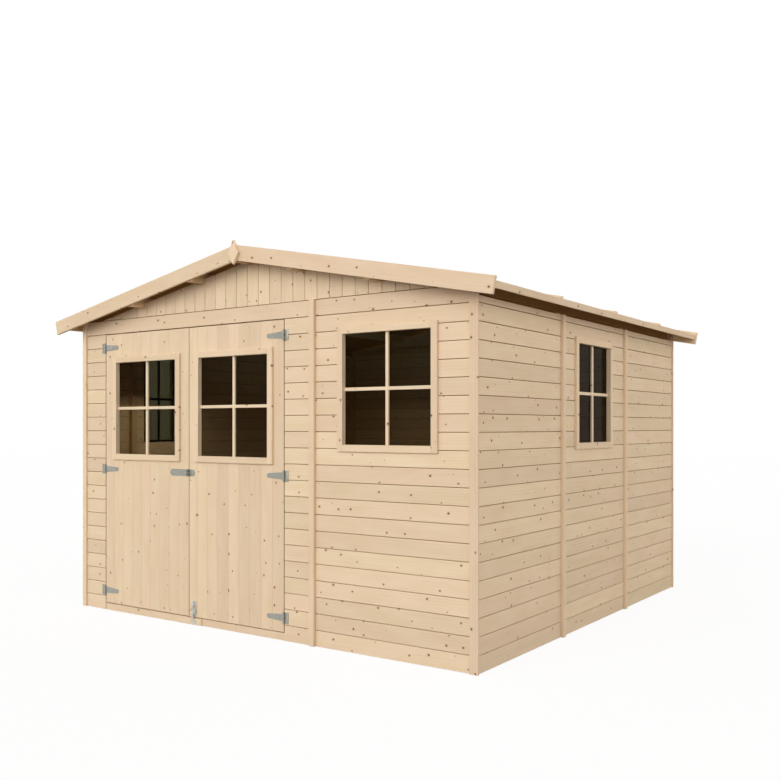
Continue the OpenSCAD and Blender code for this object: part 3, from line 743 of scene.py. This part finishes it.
def screw(piece, x, y, z):
    """Adds a pan-head screw with a recess for the driver, driven from the front into a face at y."""
    head = bmesh.new()
    bmesh.ops.create_cone(head, cap_ends=True, segments=SCREW_SIDES, radius1=SCREW_R,
                          radius2=SCREW_TOP_R, depth=SCREW_H)
    top = [f for f in head.faces if f.normal.z > 0.9]
    bmesh.ops.inset_region(head, faces=top, thickness=SCREW_RIM)
    recess = list({v for f in top for v in f.verts})
    bmesh.ops.translate(head, verts=recess, vec=-SCREW_RECESS * Z_AXIS)
    head.transform(Matrix.Translation((x, y - SCREW_H / 2, z)) @ Matrix.Rotation(math.pi / 2, 4, "X"))
    lay(piece, head)


# Places of the screws in mm: along from the end of a strap or plate that is nearer to the hinge pin of
# its leaf, and up from its middle
STRAP_SCREWS = [(36, 9), (36, -9), (74, 0), (118, 0)]
SCREWS = {
    "left_door_hinge_straps": STRAP_SCREWS,
    "right_door_hinge_straps": STRAP_SCREWS,
    "hinge_plates": [(26, 22), (22, 0), (26, -22)],
    "left_door_padlock_plate": [(16, 0), (60, 11), (60, -11), (120, 0)],
    "right_door_padlock_plate": [(14, 10), (14, -10)],
    "right_door_bolt_guide": [(7, 36), (7, 0), (7, -36)],
}
doors_mid_x = (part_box("left_door_boards")[1].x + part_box("right_door_boards")[0].x) / 2
zinc = zinc_plate("zinc_plated_steel", "#83837b", "#b2b1a8")
# A paler copy of the same plating, with painted light, for the bolt
painted_light_zinc = zinc_plate("painted_light_zinc_plated_steel", "#aeaea8", "#dadad4")
for node in ("hinge_plates", "left_door_hinge_straps", "right_door_hinge_straps", "left_door_padlock_plate",
             "right_door_padlock_plate", "right_door_bolt_guide", "bolt_rod", "bolt_keeper"):
    metal = eased_metal(node)
    for lo, hi in boxes(node):
        mid_x, mid_z = (lo.x + hi.x) / 2, (lo.z + hi.z) / 2
        from_left = mid_x > doors_mid_x if node == "hinge_plates" else mid_x < doors_mid_x
        for along, up in SCREWS.get(node, ()):
            x = lo.x + along * MM if from_left else hi.x - along * MM
            screw(metal, x, front_y - PLATE_T, mid_z + up * MM)
    # The bolt's pieces take the paler zinc, painted light
    dress(node + "_zinc", metal, painted_light_zinc if "bolt" in node else zinc, node)

# Ground, light and camera
# A plain white ground that keeps a faint shadow, an even pale sky, and a weak sun from the front left.
# The ground and the sky are white where they are seen or mirrored, and light the object at a plain level.
WHITE = (1, 1, 1, 1)
GROUND_HALF = 40
# The ground's own glow, and the share of light that it gives back where it shows and to the object
GROUND_GLOW = 0.9
GROUND_SHOWN = 0.12
GROUND_BOUNCE = 0.26
SKY_TINT = (1, 0.985, 0.96, 1)
# The sky's strength at the horizon and from the top of the band up
SKY_HORIZON = 2.45
SKY_ZENITH = 0.35
SKY_BAND = 0.7
SUN_LIGHT = 0.74
SUN_SPREAD = 40
SUN_WAY = Vector((0.25, 1.0, -0.5))
# Each lamp's place, power, colour and tilt from facing down
INSIDE_LAMPS = [
    ((-1.0, -0.95, 1.42), 5.5, (1, 0.93, 0.88), 0),
    ((-0.7, 0.9, 1.45), 1.3, (1, 0.95, 0.9), 0),
    ((-0.3, 0.4, 1.3), 3.5, (0.5, 0.8, 1), math.pi),
]
LAMP_SIZE = 0.6
# The camera stands level, and its picture is shifted so that upright edges stay upright
PHOTO_PX = 780
FOCAL_PX = 912.5
HORIZON_PX = 426.3
SENSOR_W = 36
CAMERA_PLACE = (3.6645, -5.3096, 1.1978)
CAMERA_TURN = 34.875
# Sockets of a Mix node that mixes numbers
NUMBER_A, NUMBER_B = 2, 3


def seen_rays(tree):
    """1 for rays that show the surface itself or its mirror image, 0 for those that light the object."""
    path = add(tree, "LightPath").outputs
    seen = add(tree, "Math", {0: path["Is Camera Ray"], 1: path["Is Glossy Ray"]},
               operation="MAXIMUM").outputs[0]
    return add(tree, "Math", {0: seen, 1: path["Is Transmission Ray"]}, operation="MAXIMUM").outputs[0]


white, tree = bare_material("white_ground")
strength = add(tree, "Math", {0: seen_rays(tree), 1: GROUND_GLOW}, operation="MULTIPLY").outputs[0]
glow = add(tree, "Emission", {"Color": WHITE, "Strength": strength}).outputs[0]
shown = add(tree, "LightPath").outputs["Is Camera Ray"]
grey = add(tree, "MapRange", {"Value": shown, "To Min": GROUND_BOUNCE, "To Max": GROUND_SHOWN}).outputs[0]
matt = add(tree, "BsdfDiffuse", {"Color": grey}).outputs[0]
both = add(tree, "AddShader", {0: glow, 1: matt}).outputs[0]
add(tree, "OutputMaterial", {"Surface": both})
ground_bm = bmesh.new()
bmesh.ops.create_grid(ground_bm, x_segments=1, y_segments=1, size=GROUND_HALF)
ground_mesh = bpy.data.meshes.new("ground")
ground_bm.to_mesh(ground_mesh)
ground_bm.free()
ground_mesh.materials.append(white)
ground = bpy.data.objects.new("ground", ground_mesh)
scene.collection.objects.link(ground)

world = bpy.data.worlds.new("studio")
world.use_nodes = True
scene.world = world
tree = world.node_tree
tree.nodes.clear()
way = add(tree, "SeparateXYZ", {0: add(tree, "TexCoord").outputs["Generated"]}).outputs
dome = add(tree, "MapRange", {"Value": way["Z"], "From Max": SKY_BAND, "To Min": SKY_HORIZON,
                              "To Max": SKY_ZENITH}).outputs[0]
seen = seen_rays(tree)
level = add(tree, "Mix", {FACTOR: seen, NUMBER_A: dome, NUMBER_B: 1.0}).outputs[0]
tint = add(tree, "Mix", {FACTOR: seen, COLOUR_A: SKY_TINT, COLOUR_B: WHITE},
           data_type="RGBA").outputs[COLOUR_OUT]
sky = add(tree, "Background", {"Color": tint, "Strength": level}).outputs[0]
add(tree, "OutputWorld", {"Surface": sky})

sun_data = bpy.data.lights.new("sun", "SUN")
sun_data.energy = SUN_LIGHT
sun_data.angle = math.radians(SUN_SPREAD)
sun = bpy.data.objects.new("sun", sun_data)
sun.rotation_euler = SUN_WAY.to_track_quat("-Z", "Y").to_euler()
scene.collection.objects.link(sun)

# Dim lamps at the height of the windows stand for the daylight that clear panes would let in: two light
# the lower walls, and a cooler one the roof
for place, power, colour, tilt in INSIDE_LAMPS:
    lamp_data = bpy.data.lights.new("inside", "AREA")
    lamp_data.energy = power
    lamp_data.color = colour
    lamp_data.size = LAMP_SIZE
    lamp = bpy.data.objects.new("inside", lamp_data)
    lamp.location = place
    lamp.rotation_euler = (tilt, 0, 0)
    lamp.visible_camera = lamp.visible_glossy = lamp.visible_transmission = False
    scene.collection.objects.link(lamp)

camera_data = bpy.data.cameras.new("camera")
camera_data.sensor_width = SENSOR_W
camera_data.lens = FOCAL_PX * SENSOR_W / PHOTO_PX
camera_data.shift_y = (HORIZON_PX - PHOTO_PX / 2) / PHOTO_PX
camera = bpy.data.objects.new("camera", camera_data)
camera.location = CAMERA_PLACE
camera.rotation_euler = (math.pi / 2, 0, math.radians(CAMERA_TURN))
scene.collection.objects.link(camera)
scene.camera = camera
scene.view_settings.view_transform = "Standard"
